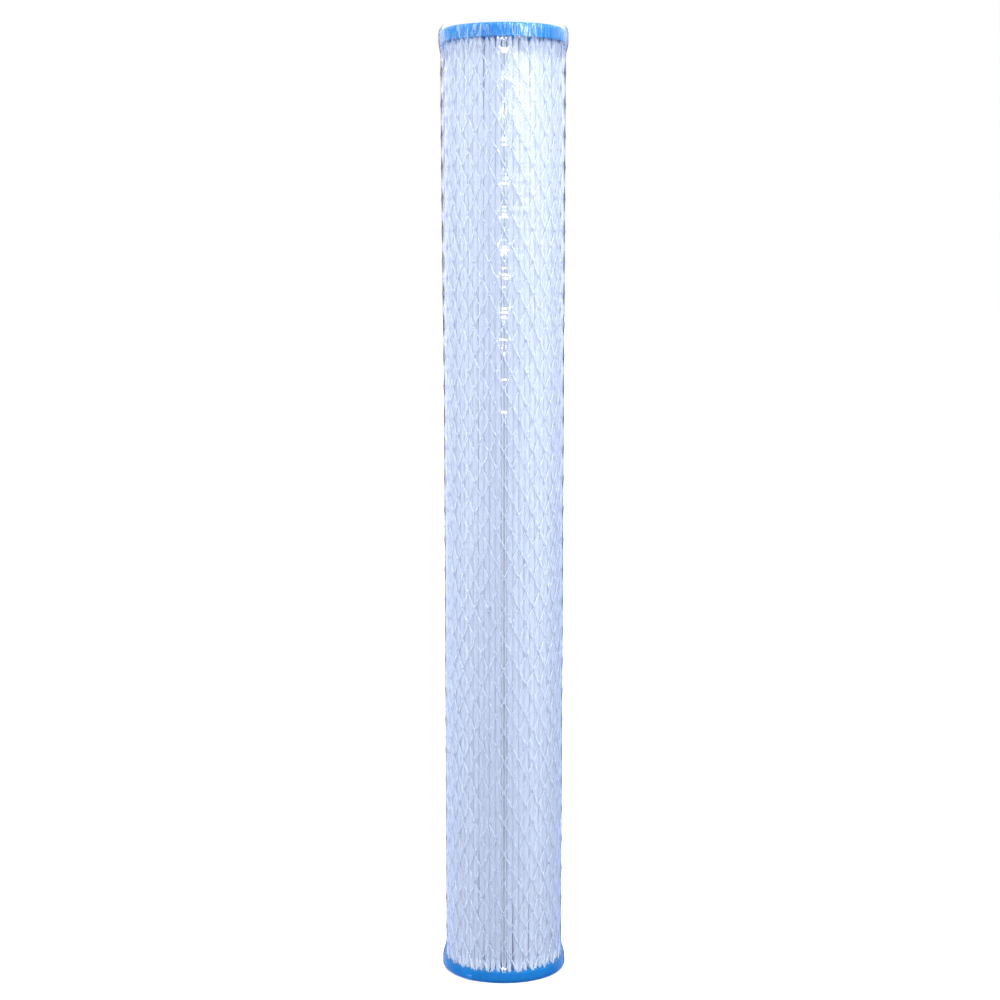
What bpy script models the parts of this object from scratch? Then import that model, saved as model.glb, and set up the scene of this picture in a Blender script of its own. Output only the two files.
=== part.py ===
"""A slim pleated filter cartridge, open at both ends, still in its clear shrink film.

It is built as it comes apart on a bench: a moulded core cage in four snap-together sections,
a pleated fabric pack round it with its lap seam, a diamond netting sleeve round the pleats,
two cast end caps that hold all of them, and the film that it is sold in.

Units are metres. +Z runs along the cartridge, and the origin is the centre of the bottom face.
"""

import math

import bmesh
import bpy
from mathutils import Matrix, Vector

# Driving dimensions
LENGTH = 0.508
CAP_DIAMETER = 0.0667
BORE_DIAMETER = 0.0260
TOP_CAP_HEIGHT = 0.0073
BOTTOM_CAP_HEIGHT = 0.0060
CORE_OUTER_DIAMETER = 0.0320
CORE_WALL = 0.0020
CORE_SECTIONS = 4
PLEATS = 60
FABRIC_THICKNESS = 0.0005
PLEAT_OUTER_DIAMETER = 0.0602
NET_CELLS_AROUND = 24
NET_CELLS_ALONG = 30

# The gap that two touching pieces keep
FIT = 0.0003

# End caps
CAP_RADIUS = CAP_DIAMETER / 2
BORE_RADIUS = BORE_DIAMETER / 2
CAP_EDGE_ROUND = 0.0020
CAP_EDGE_STEPS = 3
CAP_RIM_WALL = 0.0007
CAP_RIM_CHAMFER = 0.0003
CAP_POCKET_DEPTH = 0.0015
CAP_CORE_FLOOR = 0.0022
BORE_CHAMFER = 0.0005
ROUND_STEPS = 40

# Core
CORE_RADIUS = CORE_OUTER_DIAMETER / 2
CORE_BORE_RADIUS = CORE_RADIUS - CORE_WALL
CORE_SPIGOT = 0.0050
CORE_SPIGOT_RADIUS = CORE_BORE_RADIUS + 0.00085
CORE_FOOT = CAP_CORE_FLOOR + FIT
CORE_PITCH = (LENGTH - 2 * CORE_FOOT - CORE_SPIGOT) / CORE_SECTIONS
CORE_STEPS = 18
WINDOW_ROWS = 4
WINDOWS_AROUND = 6
WINDOW_WIDTH = 0.0080
WINDOW_HEIGHT = 0.0200
WINDOW_CUT_DEPTH = 0.0060

# Pleated fabric
PACK_BOTTOM = BOTTOM_CAP_HEIGHT - CAP_POCKET_DEPTH + FIT
PACK_TOP = LENGTH - TOP_CAP_HEIGHT + CAP_POCKET_DEPTH - FIT
FOLD_TIP_RADIUS = PLEAT_OUTER_DIAMETER / 2 - FABRIC_THICKNESS / 2
FOLD_ROOT_RADIUS = CORE_RADIUS + 0.0004 + FABRIC_THICKNESS / 2
FOLD_TIP_ROUND = 0.00055
FOLD_ROOT_HALF_WIDTH = 0.00035
SEAM_LEAF_OFFSET = 0.00085
SEAM_LEAF_SETBACK = 0.0010
SEAM_STRIP_THICKNESS = 0.0004
SEAM_STRIP_DEPTH = 0.0040
SEAM_ANGLE = math.radians(-90)

# Netting: one layer of strands winds each way, and both end in a hem that the caps hold
STRAND_WIDTH = 0.0009
STRAND_DEPTH = 0.00045
STRAND_STEPS = 20
STRAND_TURN = math.tau * NET_CELLS_ALONG / NET_CELLS_AROUND
INNER_STRAND_RADIUS = PLEAT_OUTER_DIAMETER / 2 + 0.00095
OUTER_STRAND_RADIUS = INNER_STRAND_RADIUS + STRAND_DEPTH + FIT
HEM_HEIGHT = 0.0009
HEM_MARGIN = 0.0001

# Shrink film
FILM_WALL = 0.0002
FILM_CAP_RADIUS = CAP_RADIUS + FIT
FILM_BODY_RADIUS = OUTER_STRAND_RADIUS + STRAND_DEPTH + FIT + 0.0001
FILM_FLARE = 0.0080
FILM_LIP_ANGLE = math.radians(45)


def material(name, colour, roughness, metallic=0.0, alpha=1.0):
    """A Principled material in one colour, given as linear red, green and blue."""
    made = bpy.data.materials.new(name)
    made.use_nodes = True
    shader = made.node_tree.nodes["Principled BSDF"]
    shader.inputs["Base Color"].default_value = (*colour, 1.0)
    shader.inputs["Roughness"].default_value = roughness
    shader.inputs["Metallic"].default_value = metallic
    shader.inputs["Alpha"].default_value = alpha
    return made


def add_object(name, mesh_builder, surface, smooth_angle=math.radians(35)):
    """Turns a bmesh into a named object with one material and its sharp edges marked."""
    mesh = bpy.data.meshes.new(name)
    bmesh.ops.recalc_face_normals(mesh_builder, faces=mesh_builder.faces)
    mesh_builder.to_mesh(mesh)
    mesh_builder.free()
    mesh.shade_smooth()
    mesh.set_sharp_from_angle(angle=smooth_angle)
    mesh.materials.append(surface)
    piece = bpy.data.objects.new(name, mesh)
    bpy.context.scene.collection.objects.link(piece)
    return piece


def polar(radius, angle, height=0.0):
    """The point at that radius, angle and height round the cartridge's axis."""
    return Vector((radius * math.cos(angle), radius * math.sin(angle), height))


def turned(outline, steps):
    """Spins a closed outline of (radius, height) points once round the Z axis."""
    body = bmesh.new()
    corners = [body.verts.new((radius, 0.0, height)) for radius, height in outline]
    edges = [body.edges.new((a, b)) for a, b in zip(corners, corners[1:] + corners[:1])]
    bmesh.ops.spin(
        body, geom=corners + edges, cent=(0, 0, 0), axis=(0, 0, 1), angle=math.tau, steps=steps, use_merge=True
    )
    return body


def arc(centre, radius, start, end, steps):
    """Points (radius, height) along an arc of an outline, both ends included."""
    angles = [start + (end - start) * step / steps for step in range(steps + 1)]
    return [(centre[0] + radius * math.cos(a), centre[1] + radius * math.sin(a)) for a in angles]


def cap_outline(height):
    """Half section of a cap that stands on its face: bore, core seat, pleat pocket, rim and rounded edge."""
    pocket_floor = height - CAP_POCKET_DEPTH
    core_seat = CORE_RADIUS + FIT
    pocket_wall = CAP_RADIUS - CAP_RIM_WALL
    edge_centre = (CAP_RADIUS - CAP_EDGE_ROUND, CAP_EDGE_ROUND)
    return [
        (BORE_RADIUS + BORE_CHAMFER, 0.0),
        (BORE_RADIUS, BORE_CHAMFER),
        (BORE_RADIUS, CAP_CORE_FLOOR),
        (core_seat, CAP_CORE_FLOOR),
        (core_seat, pocket_floor),
        (pocket_wall, pocket_floor),
        (pocket_wall, height),
        (CAP_RADIUS - CAP_RIM_CHAMFER, height),
        (CAP_RADIUS, height - CAP_RIM_CHAMFER),
        *arc(edge_centre, CAP_EDGE_ROUND, 0.0, -math.pi / 2, CAP_EDGE_STEPS),
    ]


def end_cap(name, height, surface):
    """A cast cap standing on its sealing face, with its origin at the centre of that face."""
    return add_object(name, turned(cap_outline(height), ROUND_STEPS), surface)


def core_outline():
    """Half section of one core section: a socket below, and a spigot above for the next section."""
    shoulder = CORE_PITCH - FIT
    socket_radius = CORE_SPIGOT_RADIUS + FIT
    return [
        (socket_radius, 0.0),
        (socket_radius, CORE_SPIGOT + FIT),
        (CORE_BORE_RADIUS, CORE_SPIGOT + FIT),
        (CORE_BORE_RADIUS, CORE_PITCH + CORE_SPIGOT),
        (CORE_SPIGOT_RADIUS, CORE_PITCH + CORE_SPIGOT),
        (CORE_SPIGOT_RADIUS, shoulder),
        (CORE_RADIUS, shoulder),
        (CORE_RADIUS, 0.0),
    ]


def window_cutter():
    """The blocks that cut one section's windows, as a hidden object."""
    blocks = bmesh.new()
    clear_length = CORE_PITCH - CORE_SPIGOT
    row_pitch = clear_length / WINDOW_ROWS
    size = Matrix.Diagonal((WINDOW_CUT_DEPTH, WINDOW_WIDTH, WINDOW_HEIGHT, 1.0))
    for row in range(WINDOW_ROWS):
        height = CORE_SPIGOT + row_pitch * (row + 0.5)
        for column in range(WINDOWS_AROUND):
            turn = Matrix.Rotation(math.tau * column / WINDOWS_AROUND, 4, "Z")
            place = turn @ Matrix.Translation((CORE_RADIUS - CORE_WALL / 2, 0.0, height))
            bmesh.ops.create_cube(blocks, size=1.0, matrix=place @ size)
    mesh = bpy.data.meshes.new("core_window_cutter")
    blocks.to_mesh(mesh)
    blocks.free()
    cutter = bpy.data.objects.new("core_window_cutter", mesh)
    cutter.hide_render = True
    cutter.display_type = "WIRE"
    bpy.context.scene.collection.objects.link(cutter)
    return cutter


def core_section(name, cutter, surface):
    """One moulded section of the core cage, with its windows cut, standing on its socket end."""
    section = add_object(name, turned(core_outline(), CORE_STEPS), surface)
    windows = section.modifiers.new("windows", "BOOLEAN")
    windows.operation = "DIFFERENCE"
    windows.solver = "EXACT"
    windows.object = cutter
    return section


def pleat_line():
    """Points along the middle of the fabric, from one leaf of the lap seam round to the other."""
    pitch = math.tau / PLEATS
    leaf_radius = FOLD_TIP_RADIUS - SEAM_LEAF_SETBACK
    leaf_angle = SEAM_LEAF_OFFSET / leaf_radius
    tip_angle = FOLD_TIP_ROUND / FOLD_TIP_RADIUS
    root_angle = FOLD_ROOT_HALF_WIDTH / FOLD_ROOT_RADIUS
    line = [polar(leaf_radius, SEAM_ANGLE + leaf_angle)]
    for pleat in range(PLEATS):
        root = SEAM_ANGLE + pitch * (pleat + 0.5)
        tip = SEAM_ANGLE + pitch * (pleat + 1)
        line.append(polar(FOLD_ROOT_RADIUS, root - root_angle))
        line.append(polar(FOLD_ROOT_RADIUS, root + root_angle))
        if pleat < PLEATS - 1:
            line.append(polar(FOLD_TIP_RADIUS - FOLD_TIP_ROUND, tip - tip_angle))
            line.append(polar(FOLD_TIP_RADIUS, tip))
            line.append(polar(FOLD_TIP_RADIUS - FOLD_TIP_ROUND, tip + tip_angle))
    line.append(polar(leaf_radius, SEAM_ANGLE - leaf_angle))
    return line


def pleated_media(surface):
    """The fabric folded into pleats, as an upright sheet that Solidify makes thick."""
    sheet = bmesh.new()
    foot = [sheet.verts.new(point) for point in pleat_line()]
    edges = [sheet.edges.new((a, b)) for a, b in zip(foot, foot[1:])]
    raised = bmesh.ops.extrude_edge_only(sheet, edges=edges)
    top = [item for item in raised["geom"] if isinstance(item, bmesh.types.BMVert)]
    bmesh.ops.translate(sheet, verts=top, vec=(0.0, 0.0, PACK_TOP - PACK_BOTTOM))
    media = add_object("pleated_media", sheet, surface)
    media.location.z = PACK_BOTTOM
    thickness = media.modifiers.new("fabric", "SOLIDIFY")
    thickness.thickness = FABRIC_THICKNESS
    thickness.offset = 0.0
    thickness.use_even_offset = True
    return media


def seam_strip(surface):
    """The bonding strip between the two end leaves of the fabric, over the whole pack."""
    height = PACK_TOP - PACK_BOTTOM
    outer_radius = FOLD_TIP_RADIUS - SEAM_LEAF_SETBACK
    body = bmesh.new()
    size = Matrix.Diagonal((SEAM_STRIP_DEPTH, SEAM_STRIP_THICKNESS, height, 1.0))
    place = Matrix.Rotation(SEAM_ANGLE, 4, "Z") @ Matrix.Translation((outer_radius - SEAM_STRIP_DEPTH / 2, 0.0, 0.0))
    bmesh.ops.create_cube(body, size=1.0, matrix=place @ size)
    strip = add_object("media_seam_strip", body, surface)
    strip.location.z = PACK_BOTTOM + height / 2
    return strip


def wind_strands(net, radius, direction, height):
    """Winds one layer of strands: each is a flat triangle swept along a helix, up or down the sleeve."""
    slope = math.atan2(STRAND_TURN * radius, height)
    half_width = STRAND_WIDTH / 2 / math.cos(slope)
    rise = Vector((0.0, 0.0, height / STRAND_STEPS))
    for strand in range(NET_CELLS_AROUND):
        angle = math.tau * strand / NET_CELLS_AROUND
        side = half_width / radius
        corners = [
            net.verts.new(polar(radius, angle - side)),
            net.verts.new(polar(radius, angle + side)),
            net.verts.new(polar(radius + STRAND_DEPTH, angle)),
        ]
        section = net.faces.new(corners)
        bmesh.ops.spin(
            net,
            geom=[section],
            cent=(0, 0, 0),
            axis=(0, 0, 1),
            dvec=rise,
            angle=direction * STRAND_TURN,
            steps=STRAND_STEPS,
        )


def netting_hem(net, height):
    """The welded end of the sleeve, which the cap's casting takes hold of."""
    inner = INNER_STRAND_RADIUS - HEM_MARGIN
    outer = OUTER_STRAND_RADIUS + STRAND_DEPTH + HEM_MARGIN
    outline = [(inner, height), (outer, height), (outer, height + HEM_HEIGHT), (inner, height + HEM_HEIGHT)]
    ring = turned(outline, 2 * NET_CELLS_AROUND)
    mesh = bpy.data.meshes.new("hem")
    ring.to_mesh(mesh)
    ring.free()
    net.from_mesh(mesh)
    bpy.data.meshes.remove(mesh)


def hem_cutter(sleeve_height):
    """Both hems as one hidden object, for the strands to be joined to."""
    rings = bmesh.new()
    netting_hem(rings, 0.0)
    netting_hem(rings, sleeve_height - HEM_HEIGHT)
    bmesh.ops.recalc_face_normals(rings, faces=rings.faces)
    mesh = bpy.data.meshes.new("netting_hems")
    rings.to_mesh(mesh)
    rings.free()
    hems = bpy.data.objects.new("netting_hems", mesh)
    hems.hide_render = True
    hems.display_type = "WIRE"
    hems.location.z = PACK_BOTTOM
    bpy.context.scene.collection.objects.link(hems)
    return hems


def netting_sleeve(surface):
    """The diamond netting: two layers of strands that cross, joined at both ends by a hem."""
    sleeve_height = PACK_TOP - PACK_BOTTOM
    inset = HEM_HEIGHT / 3
    net = bmesh.new()
    wind_strands(net, INNER_STRAND_RADIUS, 1, sleeve_height - 2 * inset)
    wind_strands(net, OUTER_STRAND_RADIUS, -1, sleeve_height - 2 * inset)
    bmesh.ops.translate(net, verts=net.verts, vec=(0.0, 0.0, inset))
    sleeve = add_object("netting_sleeve", net, surface)
    sleeve.location.z = PACK_BOTTOM
    joined = sleeve.modifiers.new("hems", "BOOLEAN")
    joined.operation = "UNION"
    joined.solver = "EXACT"
    joined.object = hem_cutter(sleeve_height)
    return sleeve


def film_side(wall):
    """The film's outline at that distance outside its inner face, from its bottom lip to its top lip."""
    edge_radius = CAP_EDGE_ROUND + FIT + wall
    bottom_centre = (CAP_RADIUS - CAP_EDGE_ROUND, CAP_EDGE_ROUND)
    top_centre = (CAP_RADIUS - CAP_EDGE_ROUND, LENGTH - CAP_EDGE_ROUND)
    body_radius = FILM_BODY_RADIUS + wall
    return [
        *arc(bottom_centre, edge_radius, -FILM_LIP_ANGLE, 0.0, 2),
        (FILM_CAP_RADIUS + wall, BOTTOM_CAP_HEIGHT + FIT),
        (body_radius, BOTTOM_CAP_HEIGHT + FILM_FLARE),
        (body_radius, LENGTH - TOP_CAP_HEIGHT - FILM_FLARE),
        (FILM_CAP_RADIUS + wall, LENGTH - TOP_CAP_HEIGHT - FIT),
        *arc(top_centre, edge_radius, 0.0, FILM_LIP_ANGLE, 2),
    ]


def shrink_film(surface):
    """The clear film drawn tight over netting and caps, open at both ends, where it grips the caps' round edges."""
    outline = film_side(FILM_WALL) + film_side(0.0)[::-1]
    return add_object("shrink_film", turned(outline, ROUND_STEPS), surface)


def build():
    """Makes every piece of the cartridge in its place."""
    for leftover in list(bpy.data.objects):
        bpy.data.objects.remove(leftover)

    blue_cap = material("cast_polyurethane_blue", (0.03, 0.31, 0.80), 0.42)
    white_core = material("moulded_polypropylene_white", (0.80, 0.82, 0.84), 0.45)
    white_fabric = material("spunbonded_polyester_white", (0.80, 0.84, 0.90), 0.85)
    glue = material("hot_melt_clear", (0.72, 0.72, 0.68), 0.35)
    white_net = material("extruded_polyethylene_net", (0.84, 0.87, 0.91), 0.40)
    clear_film = material("shrink_film_clear", (0.95, 0.97, 1.0), 0.10, alpha=0.25)

    end_cap("bottom_end_cap", BOTTOM_CAP_HEIGHT, blue_cap)
    top_cap = end_cap("top_end_cap", TOP_CAP_HEIGHT, blue_cap)
    top_cap.location.z = LENGTH
    top_cap.rotation_euler.x = math.pi

    for index in range(CORE_SECTIONS):
        lift = CORE_FOOT + index * CORE_PITCH
        cutter = window_cutter()
        cutter.location.z = lift
        section = core_section(f"core_section_{index + 1}", cutter, white_core)
        section.location.z = lift

    pleated_media(white_fabric)
    seam_strip(glue)
    netting_sleeve(white_net)
    shrink_film(clear_film)


build()
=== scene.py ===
"""The looks of a slim pleated filter cartridge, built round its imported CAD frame.

Laid out as an add-on: each operator makes one piece or one group of like pieces in place of the plain
CAD solid, and the last one sets up a plain pale studio. Lengths are metres and +Z runs along the cartridge.
"""

import math

import bmesh
import bpy
from mathutils import Matrix, Vector, noise


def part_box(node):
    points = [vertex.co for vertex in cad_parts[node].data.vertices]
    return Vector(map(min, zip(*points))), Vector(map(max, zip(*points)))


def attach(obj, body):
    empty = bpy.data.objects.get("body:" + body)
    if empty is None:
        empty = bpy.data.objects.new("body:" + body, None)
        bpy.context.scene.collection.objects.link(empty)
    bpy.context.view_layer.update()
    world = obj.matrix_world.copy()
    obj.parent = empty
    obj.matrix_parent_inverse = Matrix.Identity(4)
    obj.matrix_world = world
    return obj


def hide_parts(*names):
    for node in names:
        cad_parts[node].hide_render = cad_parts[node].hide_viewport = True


bl_info = {
    "name": "Filter Cartridge",
    "version": (1, 0, 0),
    "blender": (4, 5, 0),
    "location": "View3D > Sidebar > Cartridge",
    "description": "Makes a filter cartridge's cast caps, pleats, netting, core and film, and a plain studio",
    "category": "Object",
}

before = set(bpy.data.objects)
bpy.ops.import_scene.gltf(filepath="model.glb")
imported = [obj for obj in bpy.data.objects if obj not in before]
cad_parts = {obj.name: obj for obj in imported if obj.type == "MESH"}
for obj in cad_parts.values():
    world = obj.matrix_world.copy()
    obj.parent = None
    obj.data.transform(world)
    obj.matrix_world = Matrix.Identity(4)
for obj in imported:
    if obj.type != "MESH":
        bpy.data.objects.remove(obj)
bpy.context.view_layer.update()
BODY = "root"
MM = 0.001

# Places that the frame gives
BOTTOM_CAP_LOW, BOTTOM_CAP_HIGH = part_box("bottom_end_cap")
TOP_CAP_LOW, TOP_CAP_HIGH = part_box("top_end_cap")
MEDIA_LOW, MEDIA_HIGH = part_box("pleated_media")
NET_LOW, NET_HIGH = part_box("netting_sleeve")
CORE_SECTIONS = sorted(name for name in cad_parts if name.startswith("core_section_"))
LENGTH = TOP_CAP_HIGH.z
CAP_RADIUS = BOTTOM_CAP_HIGH.x
CORE_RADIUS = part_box(CORE_SECTIONS[0])[1].x
TIP_RADIUS = 0.5 * (MEDIA_HIGH.x - MEDIA_LOW.x)
NET_INNER_LAYER = TIP_RADIUS + 0.65 * MM
NET_OUTER_LAYER = TIP_RADIUS + 1.00 * MM
STRAND_HALF_DEPTH = 0.33 * MM
SEAM_ANGLE = math.radians(-90)
UPRIGHT_AXIS = {"cent": (0, 0, 0), "axis": (0, 0, 1)}

# A wave texture of scale 1 repeats every tenth of pi
WAVES_PER_SCALE = math.pi / 10


# ---------------------------------------------------------------- colours and nodes


def linear(code):
    """An sRGB hex colour as linear red, green and blue."""
    channels = [int(code[i : i + 2], 16) / 255 for i in (1, 3, 5)]
    return tuple(c / 12.92 if c <= 0.04045 else ((c + 0.055) / 1.055) ** 2.4 for c in channels)


def add_node(tree, kind, settings=None, inputs=None):
    """Adds a node, sets its properties, and sets each named input to a value or links it to an output."""
    made = tree.nodes.new(kind)
    for name, value in (settings or {}).items():
        setattr(made, name, value)
    for name, value in (inputs or {}).items():
        if isinstance(value, bpy.types.NodeSocket):
            tree.links.new(value, made.inputs[name])
        else:
            made.inputs[name].default_value = value
    return made


def new_material(name):
    """An empty material with its output node, and its node tree."""
    made = bpy.data.materials.new(name)
    made.use_nodes = True
    made.node_tree.nodes.clear()
    output = made.node_tree.nodes.new("ShaderNodeOutputMaterial")
    return made, made.node_tree, output


def object_coordinates(tree, scale=(1.0, 1.0, 1.0)):
    """Object coordinates, stretched along each axis."""
    place = tree.nodes.new("ShaderNodeTexCoord").outputs["Object"]
    return add_node(tree, "ShaderNodeMapping", None, {"Vector": place, "Scale": scale}).outputs[0]


def per_metre(millimetres):
    """The texture scale whose pattern repeats about every so many millimetres."""
    return 1.0 / (millimetres * MM)


# ---------------------------------------------------------------- materials


def cast_polyurethane(colour):
    """Blue polyurethane cast in an open mould: satin skin, faint clouding and pinhole bubbles."""
    material, tree, output = new_material("cast_polyurethane_blue")
    place = object_coordinates(tree)
    cloud = add_node(
        tree, "ShaderNodeTexNoise", None, {"Vector": place, "Scale": per_metre(9), "Detail": 3.0}
    )
    shade = add_node(tree, "ShaderNodeMix", {"data_type": "RGBA"}, {"Factor": cloud.outputs["Fac"]})
    deep = [0.86 * channel for channel in colour]
    pale = [min(1.0, 1.12 * channel + 0.01) for channel in colour]
    shade.inputs[6].default_value = (*deep, 1.0)
    shade.inputs[7].default_value = (*pale, 1.0)
    skin = add_node(
        tree, "ShaderNodeTexNoise", None, {"Vector": place, "Scale": per_metre(0.7), "Detail": 4.0}
    )
    bubbles = add_node(tree, "ShaderNodeTexVoronoi", None, {"Vector": place, "Scale": per_metre(2.6)})
    pits = add_node(
        tree,
        "ShaderNodeMapRange",
        None,
        {
            "Value": bubbles.outputs["Distance"],
            "From Min": 0.05,
            "From Max": 0.12,
            "To Min": 0.0,
            "To Max": 1.0,
        },
    )
    height = add_node(
        tree,
        "ShaderNodeMath",
        {"operation": "MULTIPLY_ADD"},
        {0: skin.outputs["Fac"], 1: 0.35, 2: pits.outputs[0]},
    )
    relief = add_node(
        tree, "ShaderNodeBump", None, {"Height": height.outputs[0], "Strength": 0.35, "Distance": 0.06 * MM}
    )
    gloss = add_node(
        tree,
        "ShaderNodeMapRange",
        None,
        {"Value": skin.outputs["Fac"], "To Min": 0.30, "To Max": 0.46},
    )
    shader = add_node(
        tree,
        "ShaderNodeBsdfPrincipled",
        None,
        {
            "Base Color": shade.outputs[2],
            "Roughness": gloss.outputs[0],
            "Normal": relief.outputs[0],
            "IOR": 1.45,
            "Specular IOR Level": 0.12,
        },
    )
    tree.links.new(shader.outputs[0], output.inputs["Surface"])
    return material


def spunbonded_polyester(colour):
    """White non-woven polyester: random fibres bonded in a sheet, matt and soft, a little see-through."""
    material, tree, output = new_material("spunbonded_polyester_white")
    place = object_coordinates(tree)
    along = object_coordinates(tree, (1.0, 1.0, 0.22))
    formation = add_node(
        tree, "ShaderNodeTexNoise", None, {"Vector": along, "Scale": per_metre(4), "Detail": 3.0}
    )
    # The fibres are 0.02 mm across, too fine to show, so tufts of them are drawn, 0.6 mm apart
    fibres = add_node(
        tree,
        "ShaderNodeTexNoise",
        None,
        {"Vector": place, "Scale": per_metre(0.6), "Detail": 6.0, "Roughness": 0.75, "Distortion": 1.2},
    )
    shade = add_node(tree, "ShaderNodeMix", {"data_type": "RGBA"}, {"Factor": formation.outputs["Fac"]})
    shade.inputs[6].default_value = (*[0.96 * channel for channel in colour], 1.0)
    shade.inputs[7].default_value = (*[min(1.0, 1.02 * channel) for channel in colour], 1.0)
    relief = add_node(
        tree,
        "ShaderNodeBump",
        None,
        {"Height": fibres.outputs["Fac"], "Strength": 0.5, "Distance": 0.12 * MM},
    )
    shader = add_node(
        tree,
        "ShaderNodeBsdfPrincipled",
        None,
        {
            "Base Color": shade.outputs[2],
            "Roughness": 0.88,
            "Normal": relief.outputs[0],
            "Specular IOR Level": 0.2,
            "Subsurface Weight": 0.8,
            "Subsurface Radius": (1.0, 1.0, 1.0),
            "Subsurface Scale": 0.002,
        },
    )
    through = add_node(tree, "ShaderNodeBsdfTranslucent", None, {"Color": shade.outputs[2]})
    cloth = add_node(
        tree, "ShaderNodeMixShader", None, {0: 0.35, 1: shader.outputs[0], 2: through.outputs[0]}
    )
    tree.links.new(cloth.outputs[0], output.inputs["Surface"])
    return material


def extruded_polyethylene(colour):
    """Milky polyethylene drawn from a die: waxy, partly see-through strands with fine lengthwise streaks."""
    material, tree, output = new_material("extruded_polyethylene_white")
    drawn = object_coordinates(tree, (1.0, 1.0, 0.15))
    streaks = add_node(
        tree, "ShaderNodeTexNoise", None, {"Vector": drawn, "Scale": per_metre(0.8), "Detail": 2.0}
    )
    gloss = add_node(
        tree,
        "ShaderNodeMapRange",
        None,
        {"Value": streaks.outputs["Fac"], "To Min": 0.26, "To Max": 0.44},
    )
    relief = add_node(
        tree,
        "ShaderNodeBump",
        None,
        {"Height": streaks.outputs["Fac"], "Strength": 0.3, "Distance": 0.05 * MM},
    )
    shader = add_node(
        tree,
        "ShaderNodeBsdfPrincipled",
        None,
        {
            "Base Color": (*colour, 1.0),
            "Roughness": gloss.outputs[0],
            "Normal": relief.outputs[0],
            "IOR": 1.45,
            "Specular IOR Level": 0.3,
            "Subsurface Weight": 0.8,
            "Subsurface Radius": (1.0, 1.0, 1.0),
            "Subsurface Scale": 0.001,
            "Alpha": 0.60,
        },
    )
    tree.links.new(shader.outputs[0], output.inputs["Surface"])
    return material


def moulded_polypropylene(colour):
    """White polypropylene from an injection mould: even satin with a fine flow mottle."""
    material, tree, output = new_material("moulded_polypropylene_white")
    place = object_coordinates(tree)
    flow = add_node(
        tree, "ShaderNodeTexNoise", None, {"Vector": place, "Scale": per_metre(6), "Detail": 3.0}
    )
    gloss = add_node(
        tree, "ShaderNodeMapRange", None, {"Value": flow.outputs["Fac"], "To Min": 0.34, "To Max": 0.52}
    )
    grain = add_node(
        tree, "ShaderNodeTexNoise", None, {"Vector": place, "Scale": per_metre(0.5), "Detail": 2.0}
    )
    relief = add_node(
        tree,
        "ShaderNodeBump",
        None,
        {"Height": grain.outputs["Fac"], "Strength": 0.25, "Distance": 0.03 * MM},
    )
    shader = add_node(
        tree,
        "ShaderNodeBsdfPrincipled",
        None,
        {
            "Base Color": (*colour, 1.0),
            "Roughness": gloss.outputs[0],
            "Normal": relief.outputs[0],
            "IOR": 1.49,
            "Subsurface Weight": 0.2,
            "Subsurface Radius": (1.0, 1.0, 1.0),
            "Subsurface Scale": 0.001,
        },
    )
    tree.links.new(shader.outputs[0], output.inputs["Surface"])
    return material


def hot_melt(colour):
    """Hot melt glue: off-white, waxy, laid in a slightly uneven bead."""
    material, tree, output = new_material("hot_melt_adhesive")
    place = object_coordinates(tree)
    bead = add_node(
        tree, "ShaderNodeTexNoise", None, {"Vector": place, "Scale": per_metre(2.5), "Detail": 2.0}
    )
    relief = add_node(
        tree, "ShaderNodeBump", None, {"Height": bead.outputs["Fac"], "Strength": 0.6, "Distance": 0.2 * MM}
    )
    shader = add_node(
        tree,
        "ShaderNodeBsdfPrincipled",
        None,
        {
            "Base Color": (*colour, 1.0),
            "Roughness": 0.3,
            "Normal": relief.outputs[0],
            "IOR": 1.48,
            "Subsurface Weight": 0.4,
            "Subsurface Radius": (1.0, 1.0, 1.0),
            "Subsurface Scale": 0.001,
        },
    )
    tree.links.new(shader.outputs[0], output.inputs["Surface"])
    return material


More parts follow.
